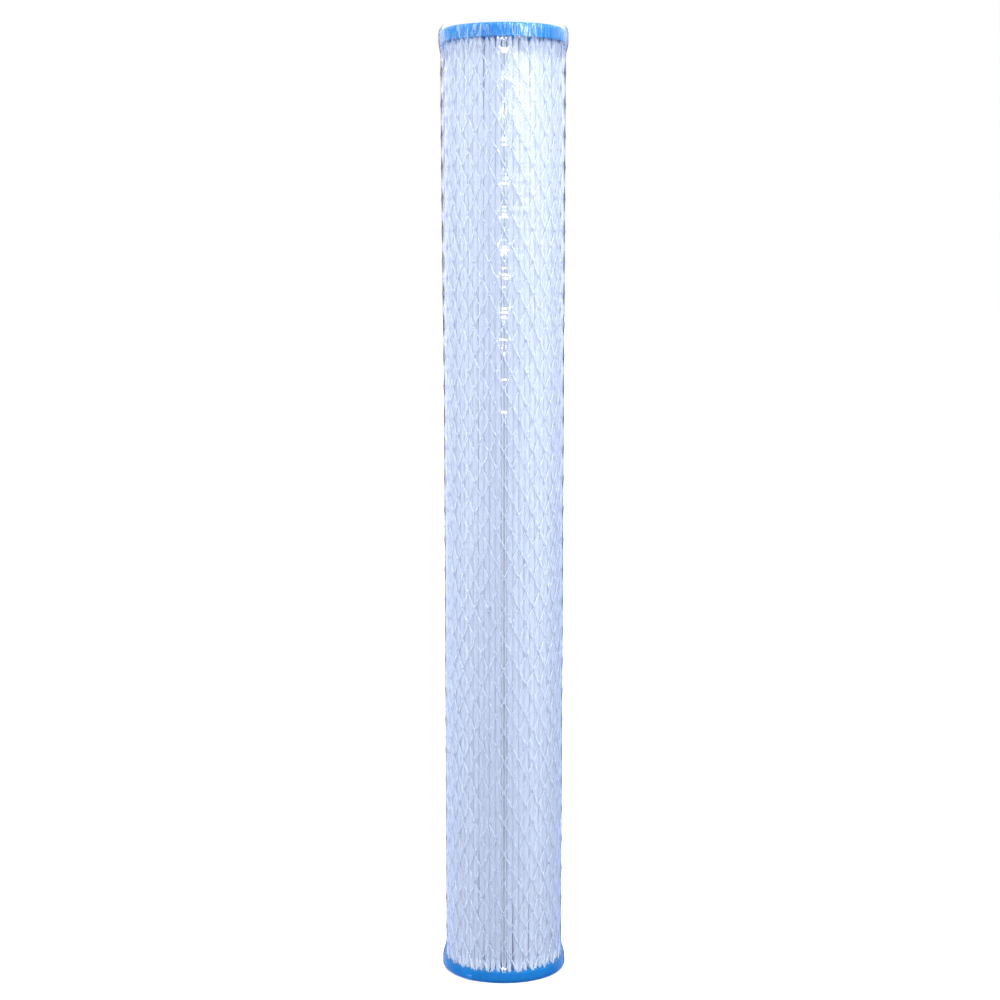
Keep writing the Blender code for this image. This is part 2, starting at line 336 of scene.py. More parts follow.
def polyolefin_film(tint):
    """Clear shrink film: sharp highlights on its creases, and next to nothing between them."""
    material, tree, output = new_material("polyolefin_shrink_film")
    place = tree.nodes.new("ShaderNodeTexCoord").outputs["Object"]
    parts = add_node(tree, "ShaderNodeSeparateXYZ", None, {"Vector": place})
    height = parts.outputs["Z"]
    # Slanting shrink wrinkles about 1 mm apart, left where the film is slack below the top cap
    slanted = add_node(
        tree, "ShaderNodeMapping", None, {"Vector": place, "Rotation": (0.0, math.radians(57), 0.0)}
    )
    wrinkles = add_node(
        tree,
        "ShaderNodeTexWave",
        {"bands_direction": "X"},
        {
            "Vector": slanted.outputs[0],
            "Scale": WAVES_PER_SCALE * per_metre(1.5),
            "Distortion": 6.0,
            "Detail": 2.0,
            "Detail Scale": 0.6,
        },
    )
    from_patch = add_node(
        tree,
        "ShaderNodeMapping",
        {"vector_type": "TEXTURE"},
        {"Vector": place, "Location": (0.0065, -0.0325, LENGTH - 0.036), "Scale": (0.012, 0.030, 0.023)},
    )
    distance = add_node(tree, "ShaderNodeVectorMath", {"operation": "LENGTH"}, {0: from_patch.outputs[0]})
    wrinkled = add_node(
        tree,
        "ShaderNodeMapRange",
        {"interpolation_type": "SMOOTHSTEP"},
        {"Value": distance.outputs["Value"], "From Min": 1.0, "From Max": 0.55},
    )
    slanting = add_node(
        tree,
        "ShaderNodeBump",
        None,
        {"Height": wrinkles.outputs["Fac"], "Strength": wrinkled.outputs[0], "Distance": 0.07 * MM},
    )
    # Level ripples a few millimetres apart, all the way down
    level = add_node(tree, "ShaderNodeMapping", None, {"Vector": place, "Scale": (0.16, 0.16, 1.0)})
    ripples = add_node(
        tree,
        "ShaderNodeTexNoise",
        None,
        {"Vector": level.outputs[0], "Scale": per_metre(3.4), "Detail": 1.0},
    )
    rippled = add_node(
        tree,
        "ShaderNodeBump",
        None,
        {
            "Height": ripples.outputs["Fac"],
            "Strength": 1.0,
            "Distance": 0.26 * MM,
            "Normal": slanting.outputs[0],
        },
    )
    # Upright gathers where the film is drawn in over both caps
    upright = add_node(tree, "ShaderNodeMapping", None, {"Vector": place, "Scale": (1.0, 1.0, 0.12)})
    gathers = add_node(
        tree,
        "ShaderNodeTexNoise",
        None,
        {"Vector": upright.outputs[0], "Scale": per_metre(0.7), "Detail": 3.0},
    )
    at_top = add_node(
        tree,
        "ShaderNodeMapRange",
        {"interpolation_type": "SMOOTHSTEP"},
        {"Value": height, "From Min": LENGTH - 0.014, "From Max": LENGTH - 0.007},
    )
    at_bottom = add_node(
        tree,
        "ShaderNodeMapRange",
        {"interpolation_type": "SMOOTHSTEP"},
        {"Value": height, "From Min": 0.012, "From Max": 0.005, "To Min": 0.0, "To Max": 0.2},
    )
    gathered = add_node(
        tree, "ShaderNodeMath", {"operation": "MAXIMUM"}, {0: at_top.outputs[0], 1: at_bottom.outputs[0]}
    )
    relief = add_node(
        tree,
        "ShaderNodeBump",
        None,
        {
            "Height": gathers.outputs["Fac"],
            "Strength": gathered.outputs[0],
            "Distance": 0.17 * MM,
            "Normal": rippled.outputs[0],
        },
    )
    gloss = add_node(
        tree,
        "ShaderNodeBsdfPrincipled",
        None,
        {
            "Base Color": (*tint, 1.0),
            "Metallic": 1.0,
            "Roughness": 0.08,
            "Normal": relief.outputs[0],
        },
    )
    clear = add_node(tree, "ShaderNodeBsdfTransparent", None, {"Color": (*tint, 1.0)})
    facing = add_node(tree, "ShaderNodeFresnel", None, {"IOR": 1.34, "Normal": relief.outputs[0]})
    # Creases are doubled film, so they turn more of the light back
    gather_crests = add_node(
        tree,
        "ShaderNodeMapRange",
        None,
        {
            "Value": gathers.outputs["Fac"],
            "From Min": 0.48,
            "From Max": 0.66,
            "To Min": 0.0,
            "To Max": 0.15,
        },
    )
    wrinkle_crests = add_node(
        tree,
        "ShaderNodeMapRange",
        None,
        {
            "Value": wrinkles.outputs["Fac"],
            "From Min": 0.90,
            "From Max": 1.0,
            "To Min": 0.0,
            "To Max": 0.20,
        },
    )
    on_caps = add_node(
        tree,
        "ShaderNodeMath",
        {"operation": "MULTIPLY"},
        {0: gather_crests.outputs[0], 1: gathered.outputs[0]},
    )
    creased = add_node(
        tree,
        "ShaderNodeMath",
        {"operation": "MULTIPLY_ADD"},
        {0: wrinkle_crests.outputs[0], 1: wrinkled.outputs[0], 2: on_caps.outputs[0]},
    )
    share = add_node(
        tree,
        "ShaderNodeMath",
        {"operation": "ADD", "use_clamp": True},
        {0: facing.outputs[0], 1: creased.outputs[0]},
    )
    mixed = add_node(
        tree, "ShaderNodeMixShader", None, {0: share.outputs[0], 1: clear.outputs[0], 2: gloss.outputs[0]}
    )
    tree.links.new(mixed.outputs[0], output.inputs["Surface"])
    return material


def studio_vinyl(colour):
    """Matt white vinyl sweep under the cartridge."""
    material, tree, output = new_material("studio_vinyl_white")
    place = object_coordinates(tree)
    grain = add_node(
        tree, "ShaderNodeTexNoise", None, {"Vector": place, "Scale": per_metre(3), "Detail": 3.0}
    )
    relief = add_node(
        tree,
        "ShaderNodeBump",
        None,
        {"Height": grain.outputs["Fac"], "Strength": 0.1, "Distance": 0.1 * MM},
    )
    shader = add_node(
        tree,
        "ShaderNodeBsdfPrincipled",
        None,
        {"Base Color": (*colour, 1.0), "Roughness": 0.75, "Normal": relief.outputs[0]},
    )
    tree.links.new(shader.outputs[0], output.inputs["Surface"])
    return material


# ---------------------------------------------------------------- shape helpers


def polar(radius, angle, height=0.0):
    """The point at that radius, angle and height round the cartridge's axis."""
    return Vector((radius * math.cos(angle), radius * math.sin(angle), height))


def arc(centre, radius, start, end, steps):
    """Points (radius, height) along an arc of an outline, both ends included."""
    angles = [start + (end - start) * step / steps for step in range(steps + 1)]
    return [(centre[0] + radius * math.cos(a), centre[1] + radius * math.sin(a)) for a in angles]


def turned(outline, steps):
    """Spins a closed outline of (radius, height) points once round the Z axis."""
    body = bmesh.new()
    corners = [body.verts.new((radius, 0.0, height)) for radius, height in outline]
    edges = [body.edges.new((a, b)) for a, b in zip(corners, corners[1:] + corners[:1])]
    bmesh.ops.spin(body, geom=corners + edges, angle=math.tau, steps=steps, use_merge=True, **UPRIGHT_AXIS)
    bmesh.ops.recalc_face_normals(body, faces=body.faces)
    return body


def unit_grid(columns, rows):
    """A flat grid, and each of its vertices with its column and row."""
    body = bmesh.new()
    bmesh.ops.create_grid(body, x_segments=columns, y_segments=rows, size=0.5)
    places = []
    for vert in body.verts:
        column = round((vert.co.x + 0.5) * columns)
        row = round((vert.co.y + 0.5) * rows)
        places.append((vert, column, row))
    return body, places


def join_in(body, part):
    """Adds one bmesh to another, and frees the added one."""
    mesh = bpy.data.meshes.new("part")
    part.to_mesh(mesh)
    part.free()
    body.from_mesh(mesh)
    bpy.data.meshes.remove(mesh)


def everything(body):
    """All of a bmesh's geometry, for an operator that copies it."""
    return list(body.verts) + list(body.edges) + list(body.faces)


def smooth_share(value):
    """0 below 0, 1 above 1, and a smooth rise between."""
    inside = min(1.0, max(0.0, value))
    return inside * inside * (3.0 - 2.0 * inside)


def noise_round(angle, fineness, level):
    """Noise that joins up round the axis; the level is a height, or only picks another pattern."""
    return noise.noise(Vector((fineness * math.cos(angle), fineness * math.sin(angle), level)))


def finish_piece(body, name, material, nodes, smooth_angle=math.radians(40)):
    """Makes a bmesh a named piece that rides on the frame in place of CAD nodes."""
    mesh = bpy.data.meshes.new(name)
    body.to_mesh(mesh)
    body.free()
    mesh.shade_smooth()
    mesh.set_sharp_from_angle(angle=smooth_angle)
    mesh.materials.append(material)
    piece = bpy.data.objects.new(name, mesh)
    bpy.context.scene.collection.objects.link(piece)
    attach(piece, BODY)
    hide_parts(*nodes)
    return piece


def net_drift(angle, height):
    """How far the net has slipped from an even lattice at a place: an angle and a height."""
    place = Vector((2.0 * math.cos(angle), 2.0 * math.sin(angle), 22.0 * height))
    away = place + Vector((11.0, 5.0, 3.0))
    return math.radians(1.0) * noise.noise(place), 0.9 * MM * noise.noise(away)


# ---------------------------------------------------------------- settings


class CartridgeSizes(bpy.types.PropertyGroup):
    """Sizes of the cartridge's pieces that the frame doesn't give"""

    bore_radius: bpy.props.FloatProperty(
        name="Bore Radius",
        description="Radius of the hole through both caps",
        default=0.0130,
        unit="LENGTH",
    )
    cap_edge_round: bpy.props.FloatProperty(
        name="Cap Edge", description="Rounding of the caps' outer edge", default=0.0020, unit="LENGTH"
    )
    core_wall: bpy.props.FloatProperty(
        name="Core Wall", description="Wall thickness of the core", default=0.0020, unit="LENGTH"
    )
    pleats: bpy.props.IntProperty(name="Pleats", description="Number of folds round the pack", default=60)
    fabric: bpy.props.FloatProperty(
        name="Fabric", description="Thickness of the pleated fabric", default=0.0005, unit="LENGTH"
    )
    cells_around: bpy.props.IntProperty(
        name="Net Cells Around", description="Diamonds of the netting in one turn", default=24
    )
    cells_along: bpy.props.IntProperty(
        name="Net Cells Along", description="Diamonds of the netting from cap to cap", default=30
    )
    strand_width: bpy.props.FloatProperty(
        name="Strand Width", description="Width of a netting strand", default=0.0007, unit="LENGTH"
    )


class CartridgeColours(bpy.types.PropertyGroup):
    """Colours of the cartridge's materials"""

    cap: bpy.props.FloatVectorProperty(
        name="Cap",
        description="Colour of the cast caps",
        subtype="COLOR",
        size=3,
        default=linear("#0081be"),
    )
    fabric: bpy.props.FloatVectorProperty(
        name="Fabric",
        description="Colour of the pleated fabric",
        subtype="COLOR",
        size=3,
        default=linear("#f5f9ff"),
    )
    netting: bpy.props.FloatVectorProperty(
        name="Netting",
        description="Colour of the netting",
        subtype="COLOR",
        size=3,
        default=linear("#f0f5fd"),
    )
    core: bpy.props.FloatVectorProperty(
        name="Core", description="Colour of the core", subtype="COLOR", size=3, default=linear("#e8ecf0")
    )
    glue: bpy.props.FloatVectorProperty(
        name="Glue",
        description="Colour of the seam's hot melt",
        subtype="COLOR",
        size=3,
        default=linear("#f0efe8"),
    )
    film: bpy.props.FloatVectorProperty(
        name="Film",
        description="Tint of the shrink film",
        subtype="COLOR",
        size=3,
        default=linear("#f6f9ff"),
    )
    floor: bpy.props.FloatVectorProperty(
        name="Floor",
        description="Colour of the studio floor",
        subtype="COLOR",
        size=3,
        default=linear("#f7f8fa"),
    )


class StudioSettings(bpy.types.PropertyGroup):
    """The camera and lights of the plain studio"""

    camera_distance: bpy.props.FloatProperty(
        name="Camera Distance", description="From the cartridge's axis", default=1.0795, unit="LENGTH"
    )
    camera_aside: bpy.props.FloatProperty(
        name="Camera Aside",
        description="Sideways from the cartridge's axis",
        default=-0.0021,
        unit="LENGTH",
    )
    camera_height: bpy.props.FloatProperty(
        name="Camera Height", description="Above the floor", default=0.3694, unit="LENGTH"
    )
    camera_pitch: bpy.props.FloatProperty(
        name="Camera Pitch", description="Downward tilt", default=math.radians(5.88), subtype="ANGLE"
    )
    lens: bpy.props.FloatProperty(name="Lens", description="Focal length in millimetres", default=72.2)


# ---------------------------------------------------------------- pieces


def cap_half_section(height, sizes):
    """Half section of a cap on its face: bore, core seat, potted face, rim and rounded edge."""
    fill = height - 0.6 * MM
    core_seat = CORE_RADIUS + 0.1 * MM
    core_floor = 2.2 * MM
    chamfer = 0.5 * MM
    rim_round = 0.35 * MM
    rim_wall = 1.2 * MM
    edge = sizes.cap_edge_round
    potted = TIP_RADIUS + 0.5 * MM
    potted_steps = 10
    potted_step = (potted - core_seat) / potted_steps
    return [
        (sizes.bore_radius + chamfer, 0.0),
        (sizes.bore_radius, chamfer),
        (sizes.bore_radius, core_floor),
        (core_seat, core_floor),
        (core_seat, fill),
        *[(core_seat + potted_step * step, fill) for step in range(1, potted_steps + 1)],
        (CAP_RADIUS - rim_wall, fill),
        (CAP_RADIUS - 2 * rim_round, height - rim_round),
        *arc((CAP_RADIUS - rim_round, height - rim_round), rim_round, math.pi * 0.75, 0.0, 5),
        *arc((CAP_RADIUS - edge, edge), edge, 0.0, -math.pi / 2, 8),
    ]


def wicking(angle, radius, pleats, seed, rise):
    """How high the casting resin has crept up between the pleats at a place."""
    between = 0.5 - 0.5 * math.cos(pleats * (angle - SEAM_ANGLE))
    patchy = noise_round(angle, 3.1, seed)
    single = noise_round(angle, 17.0, seed + 5.0)
    height = rise + (1.6 * patchy + 2.6 * single) * MM
    wetted = TIP_RADIUS + 0.6 * MM
    fade = 1.4 * MM
    return max(0.0, height) * between * smooth_share((wetted - radius) / fade)


class CARTRIDGE_OT_end_caps(bpy.types.Operator):
    """Cast both end caps"""

    bl_idname = "cartridge.end_caps"
    bl_label = "End Caps"

    def execute(self, context):
        sizes = context.scene.cartridge_sizes
        material = cast_polyurethane(context.scene.cartridge_colours.cap)
        # Each cap's height, how far its resin creeps up, and which way its angles run once it is in place
        caps = {
            "bottom_end_cap": (BOTTOM_CAP_HIGH.z - BOTTOM_CAP_LOW.z, 0.7 * MM, 1),
            "top_end_cap": (TOP_CAP_HIGH.z - TOP_CAP_LOW.z, 1.7 * MM, -1),
        }
        outside_core = CORE_RADIUS + 1 * MM
        for node, (height, rise, way) in caps.items():
            body = turned(cap_half_section(height, sizes), 4 * sizes.pleats)
            potted_face = height - 0.7 * MM
            for vert in body.verts:
                radius = vert.co.xy.length
                if radius > outside_core and vert.co.z > potted_face:
                    angle = way * math.atan2(vert.co.y, vert.co.x)
                    vert.co.z += wicking(angle, radius, sizes.pleats, height / MM, rise)
            if node == "top_end_cap":
                turn_over = Matrix.Translation((0.0, 0.0, LENGTH)) @ Matrix.Rotation(math.pi, 4, "X")
                bmesh.ops.transform(body, matrix=turn_over, verts=body.verts)
            name = node.replace("_end_cap", "_cap_casting")
            finish_piece(body, name, material, [node])
        return {"FINISHED"}


def pleat_line(sizes):
    """Points along the fabric's middle as (radius, angle), from one seam leaf round to the other."""
    pitch = math.tau / sizes.pleats
    tip_radius = TIP_RADIUS - sizes.fabric / 2
    root_radius = CORE_RADIUS + 0.4 * MM + sizes.fabric / 2
    leaf_radius = tip_radius - 0.15 * MM
    # How far in from its edge the seam leaf stands how far off the glue
    leaf_shape = ((0.0, 0.35 * MM), (0.15 * MM, 0.95 * MM), (0.7 * MM, 1.24 * MM), (4.5 * MM, 0.62 * MM))
    leaf = [(leaf_radius - inward, half_gap) for inward, half_gap in leaf_shape]
    tip_half_width = 1.28 * MM
    tip_flatness = 0.42
    root_round = 0.36 * MM
    tip_arc = [
        (across, tip_radius - tip_flatness * (tip_half_width - lift))
        for across, lift in arc((0.0, 0.0), tip_half_width, math.pi, 0.0, 4)
    ]
    root_arc = arc((0.0, root_radius + root_round), root_round, -math.pi, 0.0, 3)
    line = [(radius, SEAM_ANGLE + half_gap / radius) for radius, half_gap in leaf]
    for pleat in range(sizes.pleats):
        root = SEAM_ANGLE + pitch * (pleat + 0.5)
        tip = SEAM_ANGLE + pitch * (pleat + 1)
        line += [(radius, root + across / radius) for across, radius in root_arc]
        if pleat < sizes.pleats - 1:
            line += [(radius, tip + across / radius) for across, radius in tip_arc]
    line += [(radius, SEAM_ANGLE + math.tau - half_gap / radius) for radius, half_gap in reversed(leaf)]
    return line


def pleat_lean(pleat, height):
    """How far a pleat's tip leans round the pack at a height, is pressed in, and is pinched narrower."""
    bunched_zone = 0.045
    foot_zone = 0.012
    middle = 0.5 * (MEDIA_LOW.z + MEDIA_HIGH.z)
    half = 0.5 * (MEDIA_HIGH.z - MEDIA_LOW.z)
    from_middle = abs(height - middle)
    near_end = max(0.0, (from_middle - half + bunched_zone) / bunched_zone)
    foot = smooth_share((from_middle - half + foot_zone) / foot_zone)
    end = 1.0 if height > middle else 2.0
    slow = noise.noise(Vector((pleat * 0.9, height * 9.0, 4.0)))
    own = noise.noise(Vector((pleat * 5.3, height * 26.0, 9.0)))
    bunch = noise.noise(Vector((pleat * 0.83, 30.0 * end, 2.0)))
    single = noise.noise(Vector((pleat * 7.1, 50.0 * end, 6.0)))
    dents = abs(noise.noise(Vector((pleat * 3.1, height * 34.0, 17.0))))
    lean = 0.9 * slow + 0.5 * own + near_end * (2.3 * bunch + 1.3 * single)
    pressed = 0.35 * dents + 0.12 * near_end
    pinch = 0.46 * foot
    return math.radians(lean), pressed * MM, pinch


class CARTRIDGE_OT_pleated_fabric(bpy.types.Operator):
    """Fold the fabric into its pleated pack"""

    bl_idname = "cartridge.pleated_fabric"
    bl_label = "Pleated Fabric"

    def execute(self, context):
        sizes = context.scene.cartridge_sizes
        material = spunbonded_polyester(context.scene.cartridge_colours.fabric)
        pitch = math.tau / sizes.pleats
        root_radius = CORE_RADIUS + 0.4 * MM
        depth = TIP_RADIUS - root_radius
        rows = 76
        overlap = 1.2 * MM
        low, high = MEDIA_LOW.z - overlap, MEDIA_HIGH.z + overlap
        line = pleat_line(sizes)
        body, places = unit_grid(len(line) - 1, rows)
        for vert, step, row in places:
            # The rows stand closer together towards both ends, where the pleats bend most
            along = 2.0 * row / rows - 1.0
            share = 0.5 + 0.5 * (1.35 * along - 0.35 * along**3)
            height = low + (high - low) * share
            radius, angle = line[step]
            outward = (radius - root_radius) / depth
            turns = round((angle - SEAM_ANGLE) / pitch)
            pleat = turns % sizes.pleats
            lean, pressed, pinch = pleat_lean(pleat, height)
            if pleat == 0:
                # The two seam leaves stand straight, held by the glue
                lean, pressed = 0.0, 0.0
            from_tip = angle - SEAM_ANGLE - pitch * turns
            turned_by = (lean - pinch * from_tip) * outward
            vert.co = polar(radius - pressed * outward, angle + turned_by, height)
        bmesh.ops.recalc_face_normals(body, faces=body.faces)
        piece = finish_piece(body, "pleat_pack", material, ["pleated_media"])
        wall = piece.modifiers.new("fabric", "SOLIDIFY")
        wall.thickness = sizes.fabric
        wall.offset = 0.0
        wall.use_even_offset = True
        return {"FINISHED"}


class CARTRIDGE_OT_seam_strip(bpy.types.Operator):
    """Give the imported glue strip between the fabric's two end leaves its hot melt finish"""

    bl_idname = "cartridge.seam_strip"
    bl_label = "Seam Strip"

    def execute(self, context):
        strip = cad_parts["media_seam_strip"]
        strip.data.materials.clear()
        strip.data.materials.append(hot_melt(context.scene.cartridge_colours.glue))
        return {"FINISHED"}


class CARTRIDGE_OT_core(bpy.types.Operator):
    """Mould the windowed core cage in its sections"""

    bl_idname = "cartridge.core"
    bl_label = "Core"

    def execute(self, context):
        sizes = context.scene.cartridge_sizes
        material = moulded_polypropylene(context.scene.cartridge_colours.core)
        window_rows, windows_around, steps = 4, 6, 72
        half_window_height = 10.0 * MM
        half_window_share = 0.24
        spigot = 5.0 * MM
        joint_gap = 0.3 * MM
        for index, node in enumerate(CORE_SECTIONS):
            low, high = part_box(node)
            top = high.z - spigot if index < len(CORE_SECTIONS) - 1 else high.z
            foot = low.z + spigot
            pitch = (high.z - spigot - foot) / window_rows
            levels = [low.z]
            for row in range(window_rows):
                middle = foot + pitch * (row + 0.5)
                levels += [middle - half_window_height, middle + half_window_height]
            levels.append(top - joint_gap)
            body = bmesh.new()
            radius = CORE_RADIUS - sizes.core_wall / 2
            column = [body.verts.new((radius, 0.0, level)) for level in levels]
            line = [body.edges.new(pair) for pair in zip(column, column[1:])]
            bmesh.ops.spin(
                body, geom=column + line, angle=math.tau, steps=steps, use_merge=True, **UPRIGHT_AXIS
            )
            cut = []
            for face in body.faces:
                centre = face.calc_center_median()
                turn = math.degrees(math.atan2(centre.y, centre.x)) * windows_around / 360.0
                level = sum(centre.z > edge for edge in levels) - 1
                if level % 2 == 1 and abs(turn - round(turn)) < half_window_share:
                    cut.append(face)
            bmesh.ops.delete(body, geom=cut, context="FACES")
            bmesh.ops.recalc_face_normals(body, faces=body.faces)
            piece = finish_piece(body, node + "_cage", material, [node])
            wall = piece.modifiers.new("wall", "SOLIDIFY")
            wall.thickness = sizes.core_wall
            wall.offset = 0.0
            soften = piece.modifiers.new("edges", "BEVEL")
            soften.width = 0.25 * MM
            soften.segments = 2
            soften.limit_method = "ANGLE"
        return {"FINISHED"}


class CARTRIDGE_OT_netting(bpy.types.Operator):
    """Wind the diamond netting over the pleats"""

    bl_idname = "cartridge.netting"
    bl_label = "Netting"

    def execute(self, context):
        sizes = context.scene.cartridge_sizes
        material = extruded_polyethylene(context.scene.cartridge_colours.netting)
        height = NET_HIGH.z - NET_LOW.z
        body = bmesh.new()
        self.wind_strands(body, sizes, height)
        self.weld_knots(body, sizes, height)
        for vert in body.verts:
            angle = math.atan2(vert.co.y, vert.co.x)
            slip, lift = net_drift(angle, vert.co.z)
            level = min(max(vert.co.z + lift, 0.0), height)
            vert.co = polar(vert.co.xy.length, angle + slip, NET_LOW.z + level)
        bmesh.ops.recalc_face_normals(body, faces=body.faces)
        finish_piece(body, "diamond_netting", material, ["netting_sleeve"])
        return {"FINISHED"}

    def wind_strands(self, body, sizes, height):
        """Winds one layer of strands each way round, from end to end of the net."""
        steps = 4 * sizes.cells_along
        turn = math.tau * sizes.cells_along / sizes.cells_around
        rise = (0.0, 0.0, height / steps)
        copies = sizes.cells_around - 1
        share = math.tau * copies / sizes.cells_around
        flat = Matrix.Diagonal((STRAND_HALF_DEPTH, sizes.strand_width / 2, 1.0, 1.0))
        for direction, radius in ((1, NET_INNER_LAYER), (-1, NET_OUTER_LAYER)):
            strand = bmesh.new()
            section = bmesh.ops.create_circle(strand, cap_ends=True, radius=1.0, segments=8)["verts"]
            place = Matrix.Translation((radius, 0.0, 0.0)) @ flat
            bmesh.ops.transform(strand, matrix=place, verts=section)
            faces = list(strand.faces)
            bmesh.ops.spin(
                strand, geom=faces, angle=direction * turn, steps=steps, dvec=rise, **UPRIGHT_AXIS
            )
            copied = {"angle": share, "steps": copies, "use_duplicate": True}
            bmesh.ops.spin(strand, geom=everything(strand), **copied, **UPRIGHT_AXIS)
            join_in(body, strand)

    def weld_knots(self, body, sizes, height):
        """Puts a flat welded blob wherever two strands cross."""
        half_turn = math.pi / sizes.cells_around
        rise = height / (2 * sizes.cells_along)
        middle = 0.5 * (NET_INNER_LAYER + NET_OUTER_LAYER)
        place = (
            Matrix.Rotation(half_turn, 4, "Z")
            @ Matrix.Translation((middle, 0.0, rise))
            @ Matrix.Diagonal((0.50 * MM, 0.62 * MM, 1.15 * MM, 1.0))
        )
        knot = bmesh.new()
        bmesh.ops.create_uvsphere(knot, u_segments=8, v_segments=4, radius=1.0, matrix=place)
        copies = sizes.cells_around - 1
        copied = {"angle": 2 * half_turn * copies, "steps": copies, "use_duplicate": True}
        bmesh.ops.spin(knot, geom=everything(knot), **copied, **UPRIGHT_AXIS)
        rows = 2 * sizes.cells_along - 2
        copied = {"angle": half_turn * rows, "steps": rows, "dvec": (0.0, 0.0, rise), "use_duplicate": True}
        bmesh.ops.spin(knot, geom=everything(knot), **copied, **UPRIGHT_AXIS)
        join_in(body, knot)


def film_on_net(angle, height, sizes):
    """The film's radius on the netting: held by the strands, drawn in between them, raised on the knots."""
    net_height = NET_HIGH.z - NET_LOW.z
    slip, lift = net_drift(angle, height - NET_LOW.z)
    across = (angle - slip) * sizes.cells_around / math.pi
    along = (height - lift - NET_LOW.z) * 2 * sizes.cells_along / net_height
    rising = (across + along) / 2.0
    falling = (across - along) / 2.0
    side = 2.0 * (rising - math.floor(rising)) - 1.0
    other = 2.0 * (falling - math.floor(falling)) - 1.0
    sag = 0.16 * MM * (1.0 - side * side) * (1.0 - other * other)
    half_cell_across = math.pi * TIP_RADIUS / sizes.cells_around
    half_cell_along = net_height / (2 * sizes.cells_along)
    to_knot = side - math.copysign(1, side)
    to_other_knot = other - math.copysign(1, other)
    across_knot = half_cell_across * (to_knot + to_other_knot) / 2
    along_knot = half_cell_along * (to_knot - to_other_knot) / 2
    knot = 0.26 * MM * math.exp(-((across_knot / (1.1 * MM)) ** 2) - (along_knot / (1.5 * MM)) ** 2)
    tight = NET_OUTER_LAYER + STRAND_HALF_DEPTH + 0.20 * MM
    looser = 1.0 * MM * height / LENGTH
    upper_left = smooth_share(-math.cos(angle)) * smooth_share((height - 0.55 * LENGTH) / (0.4 * LENGTH))
    return tight + looser + 0.9 * MM * upper_left - sag + knot


def film_place(angle, level, sizes):
    """Where the film lies at a place: on the net, flaring to a cap, on the cap's wall, or over its edge."""
    edge = sizes.cap_edge_round
    clear = 0.12 * MM
    collar = 1.3 * MM
    flare = 8.0 * MM
    puckers = 0.5 + 0.5 * noise_round(angle, 9.0, level * 40.0)
    slack = smooth_share((level - LENGTH + 3 * flare) / (2 * flare))
    bulge = 1.1 * MM * slack * smooth_share(-math.cos(angle))
    bulge += 0.5 * MM * slack * smooth_share(math.cos(angle))
    over_cap = CAP_RADIUS + clear + bulge + 0.15 * MM * puckers
    if level < edge:
        down = (edge - level) / (edge + clear)
        inward = over_cap - (edge + clear) * (1.0 - math.sqrt(max(0.0, 1.0 - down * down)))
        return polar(inward + film_tail(angle, level), angle, level)
    if level > LENGTH - edge:
        up = min(1.0, (level - LENGTH + edge) / (edge + collar))
        gather = 0.45 * MM * noise_round(angle, 26.0, level * 300.0)
        rise = 0.6 * MM * noise_round(angle, 7.0, 3.0)
        return polar(over_cap + (gather - 1.5 * MM * up) * up, angle, level + rise * up)
    from_cap = min(level - BOTTOM_CAP_HIGH.z, TOP_CAP_LOW.z - level) / flare
    on_net = film_on_net(angle, level, sizes)
    tent = over_cap - 0.4 * MM * puckers * min(1.0, max(0.0, from_cap * 3.0))
    return polar(tent + (on_net - tent) * smooth_share(from_cap) + film_tail(angle, level), angle, level)


def film_tail(angle, level):
    """The little nub left where the film's tube was sealed and cut, low on the left of the front."""
    nub_angle = SEAM_ANGLE - math.radians(34)
    around = CAP_RADIUS * (angle - nub_angle) / (1.3 * MM)
    along = (level - 1.2 * MM) / (1.1 * MM)
    return 1.3 * MM * math.exp(-around * around - along * along)


class CARTRIDGE_OT_shrink_film(bpy.types.Operator):
    """Draw the clear film tight over netting and caps"""

    bl_idname = "cartridge.shrink_film"
    bl_label = "Shrink Film"

    def execute(self, context):
        sizes = context.scene.cartridge_sizes
        material = polyolefin_film(context.scene.cartridge_colours.film)
        columns = 8 * sizes.cells_around
        rows = 480
        low = 0.6 * MM
        high = LENGTH + 1.3 * MM
        body, places = unit_grid(columns, rows)
        for vert, column, row in places:
            angle = SEAM_ANGLE + math.tau * column / columns - math.pi
            vert.co = film_place(angle, low + (high - low) * row / rows, sizes)
        seam = [vert for vert, column, _ in places if column in (0, columns)]
        bmesh.ops.remove_doubles(body, verts=seam, dist=0.001 * MM)
        bmesh.ops.recalc_face_normals(body, faces=body.faces)
        finish_piece(body, "clear_film", material, ["shrink_film"], math.radians(80))
        return {"FINISHED"}


# ---------------------------------------------------------------- studio


def area_light(name, place, target, side, power, colour):
    """Puts a square lamp at a place, aimed at a target."""
    data = bpy.data.lights.new(name, "AREA")
    data.size = side
    data.energy = power
    data.color = colour
    lamp = bpy.data.objects.new(name, data)
    lamp.location = place
    lamp.rotation_euler = (Vector(target) - Vector(place)).to_track_quat("-Z", "Y").to_euler()
    bpy.context.scene.collection.objects.link(lamp)


